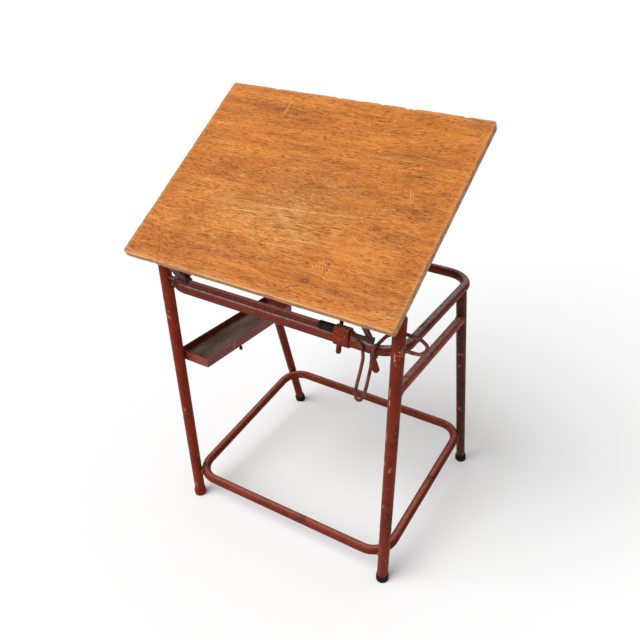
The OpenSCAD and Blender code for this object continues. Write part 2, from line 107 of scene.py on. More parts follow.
class Shader:
    """A material with a Principled shader, and short names for the nodes it uses."""

    def __init__(self, name):
        self.material = bpy.data.materials.new(name)
        self.material.use_nodes = True
        self.tree = self.material.node_tree
        self.tree.nodes.clear()
        output = self.tree.nodes.new("ShaderNodeOutputMaterial")
        self.surface = self.tree.nodes.new("ShaderNodeBsdfPrincipled")
        self.tree.links.new(self.surface.outputs["BSDF"], output.inputs["Surface"])
        coordinates = self.tree.nodes.new("ShaderNodeTexCoord")
        self.place = coordinates.outputs["Object"]
        self.normal = coordinates.outputs["Normal"]

    def join(self, value, socket):
        """Link a socket's output to this input, or set the input to a value."""
        if isinstance(value, bpy.types.NodeSocket):
            self.tree.links.new(value, socket)
        elif value is not None:
            socket.default_value = (*value, 1.0) if socket.type == "RGBA" else value

    def set(self, name, value):
        """Give the Principled shader's input of this name a value, colour or socket."""
        self.join(value, self.surface.inputs[name])

    def math(self, operation, first, second=None):
        node = self.tree.nodes.new("ShaderNodeMath")
        node.operation = operation
        self.join(first, node.inputs[0])
        self.join(second, node.inputs[1])
        return node.outputs[0]

    def plus(self, first, second):
        return self.math("ADD", first, second)

    def minus(self, first, second):
        return self.math("SUBTRACT", first, second)

    def times(self, first, second):
        return self.math("MULTIPLY", first, second)

    def vector(self, operation, first, second=None, scale=None):
        node = self.tree.nodes.new("ShaderNodeVectorMath")
        node.operation = operation
        self.join(first, node.inputs[0])
        self.join(second, node.inputs[1])
        if scale is not None:
            self.join(scale, node.inputs["Scale"])
        return node.outputs["Value" if operation == "LENGTH" else "Vector"]

    def split(self, vector):
        """The vector's X, Y and Z."""
        node = self.tree.nodes.new("ShaderNodeSeparateXYZ")
        self.join(vector, node.inputs[0])
        return node.outputs

    def remap(self, value, low, high, to_low=0.0, to_high=1.0, smooth=False):
        """The value taken from low..high to to_low..to_high, and held at both ends."""
        node = self.tree.nodes.new("ShaderNodeMapRange")
        node.interpolation_type = "SMOOTHSTEP" if smooth else "LINEAR"
        for given, socket in zip((value, low, high, to_low, to_high), node.inputs):
            self.join(given, socket)
        return node.outputs["Result"]

    def frame(self, place, location, rotation=(0.0, 0.0, 0.0), scale=(1.0, 1.0, 1.0)):
        """The place as seen from a frame that has this location, rotation and scale."""
        node = self.tree.nodes.new("ShaderNodeMapping")
        node.vector_type = "TEXTURE"
        self.join(place, node.inputs["Vector"])
        node.inputs["Location"].default_value = location
        node.inputs["Rotation"].default_value = rotation
        node.inputs["Scale"].default_value = scale
        return node.outputs["Vector"]

    def noise(self, place, scale, detail=3.0, rough=0.5, stretch=None, output="Fac"):
        """Noise of this many cells a metre; stretch lengthens its cells along the axes."""
        if stretch is not None:
            place = self.frame(place, (0.0, 0.0, 0.0), scale=stretch)
        node = self.tree.nodes.new("ShaderNodeTexNoise")
        self.join(place, node.inputs["Vector"])
        node.inputs["Scale"].default_value = scale
        node.inputs["Detail"].default_value = detail
        node.inputs["Roughness"].default_value = rough
        return node.outputs[output]

    def wander(self, place, scale, amount):
        """The place pushed about by noise, by at most about this amount."""
        around = self.noise(place, scale, output="Color")
        offset = self.vector("SUBTRACT", around, (0.5, 0.5, 0.5))
        return self.vector("ADD", place, self.vector("SCALE", offset, scale=2.0 * amount))

    def mix(self, amount, first, second):
        """The first colour, with this amount of the second laid over it."""
        node = self.tree.nodes.new("ShaderNodeMix")
        node.data_type = "RGBA"
        self.join(amount, node.inputs["Factor"])
        self.join(first, node.inputs[6])
        self.join(second, node.inputs[7])
        return node.outputs[2]

    def ramp(self, value, stops):
        """A colour for the value, from (value, colour) stops."""
        node = self.tree.nodes.new("ShaderNodeValToRGB")
        self.join(value, node.inputs[0])
        elements = node.color_ramp.elements
        while len(elements) < len(stops):
            elements.new(0.5)
        for element, (position, colour) in zip(elements, stops):
            element.position = position
            element.color = (*colour, 1.0)
        return node.outputs["Color"]

    def spot(self, place, centre, radii, turn=0.0, edge=0.5):
        """1 inside an ellipsoid and 0 outside, turned about Z; edge is its soft part."""
        seen = self.frame(place, centre, (0.0, 0.0, turn), radii)
        return self.remap(self.vector("LENGTH", seen), 1.0, 1.0 - edge)

    def most(self, masks):
        """The strongest of the masks, point by point."""
        total = masks[0]
        for mask in masks[1:]:
            total = self.math("MAXIMUM", total, mask)
        return total

    def bump(self, layers):
        """Bump from (height, distance in metres, strength) layers, one on another."""
        normal = None
        for height, distance, strength in layers:
            node = self.tree.nodes.new("ShaderNodeBump")
            node.inputs["Strength"].default_value = strength
            node.inputs["Distance"].default_value = distance
            self.join(height, node.inputs["Height"])
            self.join(normal, node.inputs["Normal"])
            normal = node.outputs["Normal"]
        self.join(normal, self.surface.inputs["Normal"])


# ---- Paint, metal, rubber and plastic ----

# The paint's two tones, its dark mottling, its pale specks and painted highlight facing up, and
# its painted shade facing down
PAINT_LIGHT = (0.23, 0.024, 0.006)
PAINT_BASE = (0.16, 0.015, 0.004)
PAINT_DARK = (0.06, 0.009, 0.005)
PAINT_PALE_AND_HIGHLIGHT = (0.4, 0.155, 0.11)
PAINT_SHADE_BELOW = (0.026, 0.008, 0.006)
# Its least and greatest roughness
PAINT_ROUGH = (0.32, 0.52)
PAINT_SPECULAR = 0.08
# The primer that shows in the chips, how far in the large chips reach, two kinds of dirt
CHIP = (0.52, 0.25, 0.14)
CHIP_REACH = 5.0 * MM
GRIME = (0.02, 0.013, 0.01)
SOOT = (0.01, 0.006, 0.005)
# Colours of the other materials
IRON_SPECK = (0.18, 0.08, 0.06)
STEEL_RUST = (0.055, 0.026, 0.016)
STEEL_DULL = (0.13, 0.095, 0.078)
STEEL_BRIGHT = (0.3, 0.27, 0.25)
RUBBER_BLACK = (0.006, 0.005, 0.005)
RUBBER_DUST = (0.05, 0.036, 0.03)
PLASTIC_BLACK = (0.006, 0.003, 0.002)
PLASTIC_SCUFF = (0.05, 0.016, 0.01)
# The tray slopes down towards the back.
TRAY_SLOPE = math.radians(2.7)
# A scratch on its right wall and a chip on its left one: places as (y, z)
TRAY_SCRATCH = (-0.128, 0.487)
TRAY_CHIP = (-0.05, 0.489)


def uneven(s, height, pattern, amount):
    """The height moved up and down by the pattern, over this amount in all."""
    return s.plus(height, s.times(s.minus(pattern, 0.5), amount))


def painted(name, light, base, chips=0.5, spots=(), blackened=None, highlight_colour=PAINT_PALE_AND_HIGHLIGHT,
            from_up=0.45):
    """Old brush paint on steel: a painted highlight on top, painted shade below, grimy, chipped
    to pale primer.

    light and base are the paint's two tones. chips is how much of it has small chips, and
    spots are large ones: centre, half width and half height in mm. blackened is a height
    below which the paint is black with dirt. highlight_colour is the painted highlight's
    colour where it faces up, and from_up is how far up it has to face for that.
    """
    s = Shader(name)
    patch = s.noise(s.place, 22.0, 4.0, 0.6)
    mottle = s.noise(s.place, 150.0, 4.0, 0.65)
    fine = s.noise(s.place, 700.0, 2.0)
    colour = s.mix(s.remap(patch, 0.35, 0.68), base, light)
    colour = s.mix(s.remap(mottle, 0.52, 0.74, 0.0, 0.75), colour, PAINT_DARK)

    # Painted highlight where it faces up, painted shade where it faces down
    up = s.split(s.normal)[2]
    top_highlight = s.times(s.remap(up, from_up, 0.98), s.remap(mottle, 0.3, 0.7, 0.8, 0.25))
    colour = s.mix(top_highlight, colour, highlight_colour)
    colour = s.mix(s.remap(up, 0.05, -0.6, 0.0, 0.9), colour, PAINT_SHADE_BELOW)

    # Pale specks and dark stains
    speck = s.remap(s.noise(s.place, 520.0, 3.0, 0.6), 0.6, 0.7, 0.0, 0.22)
    colour = s.mix(speck, colour, PAINT_PALE_AND_HIGHLIGHT)
    stain = s.times(s.noise(s.place, 46.0, 5.0, 0.7), s.noise(s.place, 11.0, 2.0))
    stain = s.remap(stain, 0.3, 0.4, 0.0, 0.7)
    colour = s.mix(stain, colour, GRIME)

    # Chips down to the primer: small ones all over and the large ones asked for
    flakes = s.times(s.noise(s.place, 230.0, 2.0), s.noise(s.place, 31.0, 2.0))
    flake_from = 0.44 - 0.03 * chips
    flake = s.remap(flakes, flake_from, flake_from + 0.015, 0.0, 0.8)
    if spots:
        loose = s.wander(s.place, 260.0, 0.7 * MM)
        large = [s.spot(loose, centre, (wide * MM, CHIP_REACH, high * MM), edge=0.35)
                 for centre, wide, high in spots]
        broken = s.remap(s.noise(s.place, 420.0, 3.0), 0.38, 0.5)
        flake = s.math("MAXIMUM", flake, s.times(s.most(large), broken))
    colour = s.mix(flake, colour, CHIP)
    if blackened is not None:
        height = uneven(s, s.split(s.place)[2], patch, 40.0 * MM)
        black = s.remap(height, blackened, blackened - 5.0 * MM, 0.0, 0.9)
        colour = s.mix(black, colour, SOOT)
    s.set("Base Color", colour)
    rough = s.plus(s.remap(mottle, 0.3, 0.7, *PAINT_ROUGH),
                   s.times(s.math("MAXIMUM", flake, stain), 0.2))
    s.set("Roughness", rough)
    s.set("Specular IOR Level", PAINT_SPECULAR)
    s.bump([(flake, -0.25 * MM, 0.8), (mottle, 0.35 * MM, 0.35), (fine, 0.1 * MM, 0.3)])
    return s.material


def dark_iron(name, dark, middle, red):
    """Oily dark steel with patches of red paint, in a dark, a middle and a red tone."""
    s = Shader(name)
    patch = s.noise(s.place, 60.0, 4.0, 0.65)
    fine = s.noise(s.place, 520.0, 3.0)
    colour = s.ramp(patch, [(0.34, dark), (0.5, middle), (0.66, red)])
    colour = s.mix(s.remap(fine, 0.62, 0.72, 0.0, 0.5), colour, IRON_SPECK)
    s.set("Base Color", colour)
    s.set("Roughness", s.remap(fine, 0.3, 0.7, 0.34, 0.56))
    s.set("Metallic", s.remap(patch, 0.35, 0.55, 0.4, 0.0))
    s.set("Specular IOR Level", 0.25)
    s.bump([(patch, 0.4 * MM, 0.4), (fine, 0.12 * MM, 0.4)])
    return s.material


def worn_steel():
    """Dull steel with rust in its hollows."""
    s = Shader("worn_steel")
    patch = s.noise(s.place, 160.0, 4.0, 0.65)
    fine = s.noise(s.place, 900.0, 2.0)
    tones = [(0.36, STEEL_RUST), (0.52, STEEL_DULL), (0.7, STEEL_BRIGHT)]
    s.set("Base Color", s.ramp(patch, tones))
    s.set("Metallic", s.remap(patch, 0.4, 0.6, 0.15, 0.85))
    s.set("Roughness", s.remap(fine, 0.3, 0.7, 0.36, 0.6))
    s.bump([(patch, 0.3 * MM, 0.5), (fine, 0.1 * MM, 0.3)])
    return s.material


def rubber(name, paint_from=None):
    """Black rubber, dusty on top; paint_from is the height where brushed-on paint starts."""
    s = Shader(name)
    dust = s.noise(s.place, 120.0, 5.0, 0.7)
    fine = s.noise(s.place, 800.0, 2.0)
    colour = s.mix(s.remap(dust, 0.54, 0.78, 0.0, 0.4), RUBBER_BLACK, RUBBER_DUST)
    if paint_from is not None:
        height = uneven(s, s.split(s.place)[2], dust, 12.0 * MM)
        covered = s.remap(height, paint_from, paint_from + 1.0 * MM)
        colour = s.mix(covered, colour, s.mix(dust, PAINT_BASE, PAINT_LIGHT))
    s.set("Base Color", colour)
    s.set("Roughness", s.remap(dust, 0.3, 0.7, 0.45, 0.72))
    s.set("Specular IOR Level", 0.06)
    s.bump([(dust, 0.3 * MM, 0.35), (fine, 0.15 * MM, 0.4)])
    return s.material


def black_plastic():
    """Scuffed black plastic with a little of the red paint on it."""
    s = Shader("black_plastic")
    scuff = s.noise(s.place, 90.0, 4.0, 0.6, stretch=(4.0, 1.0, 1.0))
    fine = s.noise(s.place, 900.0, 2.0)
    colour = s.mix(s.remap(scuff, 0.5, 0.7, 0.0, 0.6), PLASTIC_BLACK, PLASTIC_SCUFF)
    s.set("Base Color", colour)
    s.set("Specular IOR Level", 0.1)
    s.set("Roughness", s.remap(scuff, 0.3, 0.7, 0.32, 0.55))
    s.bump([(scuff, 0.2 * MM, 0.3), (fine, 0.08 * MM, 0.25)])
    return s.material


def tray_metal():
    """The tray: painted outside, its floor bare under brown dust, its rim rubbed."""
    s = Shader("tray_metal")
    low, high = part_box("tray")
    patch = s.noise(s.place, 30.0, 4.0, 0.6)
    mottle = s.noise(s.place, 170.0, 4.0, 0.65)
    fine = s.noise(s.place, 700.0, 2.0)
    paint = s.mix(s.remap(patch, 0.35, 0.68), PAINT_BASE, PAINT_LIGHT)
    paint = s.mix(s.remap(mottle, 0.5, 0.72, 0.0, 0.8), paint, PAINT_DARK)

    # Dust on the floor, redder on the half of it that slopes down to the left
    streak = s.noise(s.place, 34.0, 5.0, 0.7, stretch=(1.0, 6.0, 1.0))
    dust = s.ramp(streak, [(0.3, (0.035, 0.02, 0.01)), (0.47, (0.095, 0.062, 0.033)),
                           (0.62, (0.175, 0.125, 0.07)), (0.78, (0.24, 0.19, 0.13))])
    to_right, _, up = s.split(s.normal)
    leaning = s.remap(to_right, 0.05, -0.05)
    dust = s.mix(s.times(leaning, 0.6), dust, (0.11, 0.048, 0.04))
    dust = s.mix(s.remap(mottle, 0.52, 0.68, 0.0, 0.7), dust, (0.08, 0.03, 0.018))

    # Depth below the rim, which slopes with the tray
    rim_frame = s.frame(s.place, (low.x, low.y, high.z), (-TRAY_SLOPE, 0.0, 0.0))
    depth = s.split(rim_frame)[2]
    inside = s.remap(s.plus(depth, s.times(mottle, 4.0 * MM)), -7.0 * MM, -10.0 * MM)
    floor = s.times(s.remap(up, 0.25, 0.6), inside)
    colour = s.mix(floor, paint, dust)
    rim = s.remap(depth, -1.4 * MM, -0.2 * MM, 0.0, 0.75)
    rim = s.times(rim, s.remap(s.noise(s.place, 60.0, 4.0, 0.7), 0.46, 0.6))
    colour = s.mix(rim, colour, (0.3, 0.15, 0.11))

    # A pale scratch on the right wall and a chip on the left one
    scratch = s.spot(s.wander(s.place, 90.0, 1.2 * MM), (high.x, *TRAY_SCRATCH),
                     (4.0 * MM, 1.6 * MM, 15.0 * MM), 0.0, 0.3)
    colour = s.mix(scratch, colour, (0.42, 0.28, 0.22))
    chip = s.spot(s.wander(s.place, 300.0, 1.5 * MM), (low.x, *TRAY_CHIP),
                  (5.0 * MM, 4.0 * MM, 3.0 * MM), 0.0, 0.3)
    colour = s.mix(chip, colour, (0.4, 0.17, 0.06))
    s.set("Base Color", colour)
    s.set("Roughness", s.remap(floor, 0.0, 1.0, 0.46, 0.8))
    s.bump([(streak, 0.4 * MM, 0.4), (mottle, 0.3 * MM, 0.4), (fine, 0.1 * MM, 0.3)])
    return s.material


# ---- The board's wood ----

# Board coordinates, in mm: x as in the row frame, s up the slope from the tilt axis.
BOARD_LEFT, BOARD_RIGHT = -367.8, 325.2
BOARD_FRONT, BOARD_BACK = -13.7, 520.0
BOARD_UNDER, BOARD_TOP = 78.0, 96.0

# Scratches on the top: from, to, half width, paleness
SCRATCHES = [
    ((-177, 493), (-176, 431), 1.3, 0.95), ((-293, 219), (-316, 186), 1.2, 0.85),
    ((217, 315), (231, 268), 1.2, 0.75), ((222, 316), (236, 269), 1.0, 0.7),
    ((-232, 172), (272, 226), 1.7, 0.62), ((-184, 160), (-40, 176), 1.6, 0.7),
    ((-150, 452), (-163, 415), 1.0, 0.6), ((97, 82), (104, 68), 1.2, 1.0),
    ((104, 84), (111, 69), 1.2, 0.95), ((111, 84), (118, 70), 1.1, 0.9),
    ((118, 84), (125, 71), 1.2, 0.95), ((126, 83), (132, 72), 1.0, 0.8),
    ((134, 82), (139, 72), 1.0, 0.7), ((40, 200), (150, 214), 1.2, 0.6),
    ((-320, 92), (-250, 110), 1.2, 0.6), ((150, 372), (240, 384), 1.0, 0.5),
    ((-90, 300), (-20, 309), 1.2, 0.6), ((60, 250), (96, 280), 0.9, 0.5),
    ((-10, 120), (120, 132), 1.6, 0.7), ((-60, 96), (70, 108), 1.4, 0.6),
]
# Knots: centre, half length, half width, darkness
KNOTS = [
    ((189, 197), 10, 7, 0.95), ((100, 40), 11, 8, 0.85), ((290, 312), 8, 5, 0.75),
    ((317, 495), 4, 3, 0.95), ((287, 430), 8, 4, 0.6), ((222, 342), 9, 4, 0.6),
    ((-184, 383), 11, 3, 0.65), ((-109, 439), 14, 3, 0.45), ((160, 492), 9, 5, 0.6),
    ((62, 330), 12, 4, 0.5), ((8, 262), 13, 4, 0.45), ((-130, 250), 12, 5, 0.4),
    ((250, 260), 9, 4, 0.6), ((-250, 60), 10, 3, 0.4), ((205, 120), 10, 4, 0.45),
]
# Broad stains: centre, half length, half width, colour, amount
STAINS = [
    ((-75, 165), 230, 50, (0.33, 0.215, 0.125), 0.45),
    ((292, 500), 46, 26, (0.2, 0.13, 0.085), 0.75),
    ((235, 380), 80, 34, (0.2, 0.095, 0.03), 0.32),
    ((170, 500), 60, 22, (0.21, 0.075, 0.022), 0.6),
    ((200, 240), 110, 90, (0.27, 0.12, 0.035), 0.22),
    ((-120, 240), 120, 50, (0.33, 0.13, 0.05), 0.25),
    ((-310, 120), 60, 60, (0.52, 0.21, 0.07), 0.45),
    ((-230, 380), 120, 90, (0.64, 0.27, 0.075), 0.5),
    ((40, 420), 130, 60, (0.62, 0.25, 0.06), 0.4),
    ((240, 60), 90, 50, (0.5, 0.21, 0.065), 0.45),
    ((150, 20), 130, 30, (0.56, 0.23, 0.065), 0.4),
    ((-350, -2), 40, 26, (0.26, 0.15, 0.08), 0.7),
    ((60, 470), 260, 50, (0.7, 0.29, 0.045), 0.5),
    ((0, 260), 190, 90, (0.29, 0.13, 0.06), 0.75),
    ((290, 10), 50, 40, (0.62, 0.38, 0.19), 0.45),
]
# The wood's colours are written for even light, and these shares of them are used.
WOOD_TONE = (0.97, 0.74, 0.41)
# Tones of the broad patches, of the figure over them and of the edges, each from a level
BROAD_TONES = [(0.3, (0.33, 0.125, 0.036)), (0.44, (0.47, 0.187, 0.05)),
               (0.56, (0.59, 0.242, 0.062)), (0.7, (0.7, 0.315, 0.09))]
FIGURE_TONES = [(0.32, (0.25, 0.092, 0.029)), (0.45, (0.45, 0.18, 0.052)),
                (0.58, (0.62, 0.264, 0.076)), (0.7, (0.76, 0.4, 0.155))]
EDGE_TONES = [(0.32, (0.14, 0.09, 0.085)), (0.5, (0.43, 0.28, 0.26)),
              (0.68, (0.62, 0.44, 0.43))]
# How far into the wood the stains reach, and the knots and the scratches
STAIN_DEPTH = 12.0 * MM
MARK_DEPTH = 10.0 * MM
# How far the knots are turned from the grain, in radians
KNOT_TURN = 0.12
# Knots with a half width above this, in mm, have a pale eye.
EYE_FROM = 6
# The part of the top most rubbed by use: centre and half sizes in mm, turn in radians
USED = ((-70, 165), (360, 125), 0.05)


def wood(red, green, blue):
    return tuple(value * tone for value, tone in zip((red, green, blue), WOOD_TONE))


def wood_ramp(s, value, tones):
    return s.ramp(value, [(level, wood(*tone)) for level, tone in tones])


def on_top(x, y):
    """A place on the board's top face, from its board coordinates in mm."""
    return (x * MM, y * MM, BOARD_TOP * MM)


def add_knots(s, colour, board, figure):
    """Dark knots, each in a softer halo, the wide ones with a pale eye."""
    place = s.wander(board, 120.0, 2.5 * MM)
    ring = s.remap(figure, 0.4, 0.55, 1.0, 0.45)
    for (x, y), half_length, half_width, amount in KNOTS:
        centre = on_top(x, y)
        long, wide = half_length * MM, half_width * MM
        halo = s.spot(place, centre, (2.3 * long, 1.7 * wide, MARK_DEPTH), KNOT_TURN, 0.9)
        colour = s.mix(s.times(halo, 0.55 * amount), colour, wood(0.2, 0.075, 0.025))
        core = s.spot(place, centre, (long, wide, MARK_DEPTH), KNOT_TURN, 0.6)
        core = s.times(s.times(core, ring), 0.85 * amount)
        colour = s.mix(core, colour, wood(0.075, 0.034, 0.022))
        if half_width > EYE_FROM:
            eye = s.spot(place, centre, (0.55 * long, 0.5 * wide, MARK_DEPTH), KNOT_TURN, 0.5)
            colour = s.mix(s.times(eye, 0.75), colour, wood(0.4, 0.18, 0.07))
    return colour


def scratch_mask(s, board, fibre):
    """Where the top is scratched, and how pale each scratch is."""
    place = s.wander(board, 60.0, 1.2 * MM)
    cuts = []
    for (from_x, from_y), (to_x, to_y), half_width, paleness in SCRATCHES:
        across, up = to_x - from_x, to_y - from_y
        radii = (math.hypot(across, up) / 2 * MM, half_width * MM, MARK_DEPTH)
        middle = on_top((from_x + to_x) / 2, (from_y + to_y) / 2)
        cuts.append(s.times(s.spot(place, middle, radii, math.atan2(up, across), 0.6), paleness))
    return s.times(s.most(cuts), s.remap(fibre, 0.35, 0.55, 0.45, 1.0))


def add_rim_and_edges(s, colour, board, top, figure, streak):
    """The top's rim pale from handling, the edges and the underside grey with dirt."""
    x, y, z = s.split(board)
    off_x = s.math("ABSOLUTE", s.minus(x, (BOARD_LEFT + BOARD_RIGHT) / 2 * MM))
    off_y = s.math("ABSOLUTE", s.minus(y, (BOARD_FRONT + BOARD_BACK) / 2 * MM))
    rim_x = s.minus((BOARD_RIGHT - BOARD_LEFT) / 2 * MM, off_x)
    rim_y = s.minus((BOARD_BACK - BOARD_FRONT) / 2 * MM, off_y)
    rim = uneven(s, s.math("MINIMUM", rim_x, rim_y), figure, 9.0 * MM)
    near = s.remap(rim, 11.0 * MM, 1.0 * MM, 0.0, 0.75)
    near = s.times(near, s.remap(streak, 0.34, 0.56, 0.45, 1.0))
    colour = s.mix(near, colour, wood(0.56, 0.33, 0.22))

    # Everything below the top face, browner along the front and darker underneath
    dirt = s.noise(board, 70.0, 4.0, 0.65, stretch=(3.0, 1.0, 1.0))
    edge = wood_ramp(s, dirt, EDGE_TONES)
    at_front = s.remap(y, (BOARD_FRONT + 6.0) * MM, (BOARD_FRONT + 3.0) * MM)
    front = s.mix(dirt, wood(0.2, 0.09, 0.04), wood(0.52, 0.27, 0.12))
    edge = s.mix(s.times(at_front, 0.7), edge, front)
    at_under = s.remap(z, (BOARD_UNDER + 1.0) * MM, BOARD_UNDER * MM, 0.0, 0.85)
    under = s.mix(dirt, wood(0.12, 0.06, 0.04), wood(0.42, 0.24, 0.16))
    edge = s.mix(at_under, edge, under)
    colour = s.mix(s.times(s.minus(1.0, top), 0.88), colour, edge)

    # Bare pale wood along the worn top corner of the front edge, partly a painted highlight
    # along that arris
    from_corner = s.plus(rim_y, s.math("ABSOLUTE", s.minus(z, (BOARD_TOP - 1.0) * MM)))
    bare = s.times(s.remap(from_corner, 4.5 * MM, 1.5 * MM), at_front)
    bare = s.times(bare, s.remap(figure, 0.44, 0.56, 0.1, 0.7))
    return s.mix(bare, colour, wood(0.8, 0.62, 0.42))


def board_wood():
    """A worn board of orange-brown wood, its grain along X, scratched on the top face."""
    s = Shader("board_wood")
    board = s.frame(s.place, AXIS, (TILT, 0.0, 0.0))
    drift = s.wander(board, 5.0, 16.0 * MM)
    waved = s.wander(drift, 26.0, 3.0 * MM)
    broad = s.noise(drift, 12.0, 3.0, 0.55, stretch=(3.5, 1.0, 1.0))
    figure = s.noise(waved, 55.0, 5.0, 0.62, stretch=(9.0, 1.0, 1.0))
    streak = s.noise(waved, 210.0, 4.0, 0.6, stretch=(16.0, 1.0, 1.0))
    fibre = s.noise(waved, 900.0, 2.0, 0.5, stretch=(24.0, 1.0, 1.0))

    # Broad patches with the figure over them, a little darker to the right
    colour = s.mix(0.45, wood_ramp(s, broad, BROAD_TONES), wood_ramp(s, figure, FIGURE_TONES))
    x, _, z = s.split(board)
    darker = s.remap(x, -0.1, 0.34, 0.0, 0.05, smooth=True)
    colour = s.mix(darker, colour, wood(0.27, 0.115, 0.034))

    # Broad stains, broken up by the grain
    top = s.remap(z, (BOARD_TOP - 3.0) * MM, (BOARD_TOP - 0.6) * MM)
    soft = s.wander(board, 38.0, 9.0 * MM)
    for (x, y), length, width, stain, amount in STAINS:
        mask = s.spot(soft, on_top(x, y), (length * MM, width * MM, STAIN_DEPTH), 0.0, 0.95)
        mask = s.times(mask, s.remap(streak, 0.3, 0.62, 0.35, 1.0))
        colour = s.mix(s.times(mask, amount), colour, wood(*stain))

    # Fine grain: dark lines and pale ones
    colour = s.mix(s.remap(streak, 0.44, 0.3, 0.0, 0.45), colour, wood(0.17, 0.062, 0.02))
    colour = s.mix(s.remap(streak, 0.57, 0.7, 0.0, 0.6), colour, wood(0.74, 0.41, 0.17))
    # Short dark dashes where the pores hold dirt, in crowds, and finer pores all over
    dash = s.noise(drift, 600.0, 2.0, 0.55, stretch=(9.0, 1.0, 1.0))
    crowd = s.noise(drift, 26.0, 3.0, 0.6, stretch=(2.0, 1.0, 1.0))
    dash = s.remap(s.plus(dash, s.times(crowd, 0.16)), 0.676, 0.722)
    colour = s.mix(s.times(dash, 0.74), colour, wood(0.12, 0.042, 0.016))
    pores = s.remap(s.noise(board, 1500.0, 1.0, 0.5, stretch=(4.0, 1.0, 1.0)), 0.6, 0.68)
    colour = s.mix(s.times(pores, 0.4), colour, wood(0.16, 0.06, 0.022))
    # Pale fibres where the top is rubbed
    rub = s.plus(s.noise(drift, 480.0, 2.0, 0.5, stretch=(14.0, 1.0, 1.0)),
                 s.times(s.noise(board, 16.0, 3.0, 0.6), 0.3))
    (used_x, used_y), (used_length, used_width), used_turn = USED
    used = s.spot(soft, on_top(used_x, used_y),
                  (used_length * MM, used_width * MM, STAIN_DEPTH), used_turn, 0.9)
    rub = s.plus(rub, s.times(used, 0.145))
    rub = s.times(s.remap(rub, 0.77, 0.86), top)
    colour = s.mix(s.times(rub, 0.68), colour, wood(0.64, 0.45, 0.27))

    colour = add_knots(s, colour, board, figure)
    scratch = scratch_mask(s, board, fibre)
    colour = s.mix(scratch, colour, wood(0.78, 0.6, 0.38))
    colour = add_rim_and_edges(s, colour, board, top, figure, streak)
    s.set("Base Color", colour)
    rough = s.remap(streak, 0.3, 0.7, 0.62, 0.46)
    s.set("Roughness", s.plus(rough, s.times(scratch, 0.2)))
    s.set("Specular IOR Level", 0.22)
    s.bump([(dash, -0.5 * MM, 0.8), (streak, 0.35 * MM, 0.5), (fibre, 0.12 * MM, 0.4)])
    return s.material


# ---- Mesh building ----


def make_piece(name, mesh, body, material, replaces=()):
    """A piece from a mesh, smooth except on the flat faces that have many corners."""
    mesh.materials.append(material)
    mesh.polygons.foreach_set("use_smooth", [len(face.vertices) < 5 for face in mesh.polygons])
    piece = bpy.data.objects.new(name, mesh)
    scene.collection.objects.link(piece)
    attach(piece, body)
    if replaces:
        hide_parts(*replaces)
    return piece


def mesh_from(name, points, faces):
    """A mesh from points and faces, its faces turned outwards."""
    mesh = bpy.data.meshes.new(name)
    mesh.from_pydata([tuple(point) for point in points], [], faces)
    mesh.validate()
    build = bmesh.new()
    build.from_mesh(mesh)
    bmesh.ops.recalc_face_normals(build, faces=build.faces)
    build.to_mesh(mesh)
    build.free()
    return mesh


def turns(count):
    """Angles evenly spaced round a circle."""
    return [2 * math.pi * k / count for k in range(count)]


def tube_faces(rings, sides, closed):
    """Faces between rings of points; closed also joins the last ring to the first."""
    faces = []
    for i in range(rings if closed else rings - 1):
        j = (i + 1) % rings
        for k in range(sides):
            n = (k + 1) % sides
            faces.append((i * sides + k, i * sides + n, j * sides + n, j * sides + k))
    return faces


def end_caps(rings, sides):
    """Flat faces over the first and the last ring."""
    return [tuple(range(sides)), tuple(reversed(range((rings - 1) * sides, rings * sides)))]


def sweep(path, radius_at, sides, closed=False):
    """Points and faces of a round tube along a path; radius_at gives (i, k) its radius."""
    count = len(path)
    points = []
    side = None
    for i in range(count):
        ahead = path[(i + 1) % count] if closed else path[min(i + 1, count - 1)]
        behind = path[i - 1] if closed or i else path[0]
        heading = (ahead - behind).normalized()
        if side is None:
            side = heading.orthogonal().normalized()
        side = (side - side.dot(heading) * heading).normalized()
        across = heading.cross(side)
        for k, turn in enumerate(turns(sides)):
            out = math.cos(turn) * side + math.sin(turn) * across
            points.append(path[i] + radius_at(i, k) * out)
    faces = tube_faces(count, sides, closed)
    if not closed:
        faces += end_caps(count, sides)
    return points, faces


def softened(route, reach, steps):
    """The route with each inner corner replaced by a short curve."""
    path = [route[0]]
    for before, corner, after in zip(route, route[1:], route[2:]):
        back, on = before - corner, after - corner
        a = corner + back.normalized() * min(reach, 0.45 * back.length)
        b = corner + on.normalized() * min(reach, 0.45 * on.length)
        for k in range(steps + 1):
            t = k / steps
            path.append((1 - t) ** 2 * a + 2 * t * (1 - t) * corner + t * t * b)
    path.append(route[-1])
    return path


def merged(parts):
    """The points and faces of several parts as one."""
    points, faces = [], []
    for some_points, some_faces in parts:
        start = len(points)
        points.extend(some_points)
        faces.extend(tuple(index + start for index in face) for face in some_faces)
    return points, faces


# ---- The board's shape ----

# In mm: radius of the corners, that of the worn one, and the outline's spacing
CORNER = 7.0
CORNER_WORN = 10.0
STEP = 3.0
# Wear of the edges in mm: the usual amount, then how far slow and quick changes move it
EDGE_WEAR = (0.3, 0.55, 0.3)
ARRIS_WEAR = (1.5, 0.9, 0.8)
LEAST_WEAR = 0.05
LEAST_ARRIS = 0.5
# The front edge's further wear: the usual amount and how far changes move it
FRONT_WEAR = (0.25, 0.5)
# Lengths in mm over which the slow, the quick and the front edge's own changes come
SLOW, QUICK, FRONT = 55.0, 11.0, 90.0
# The shares of a notch's depth that round the arris more and that move the edge in
NOTCH_ARRIS, NOTCH_WEAR = 1.6, 0.6
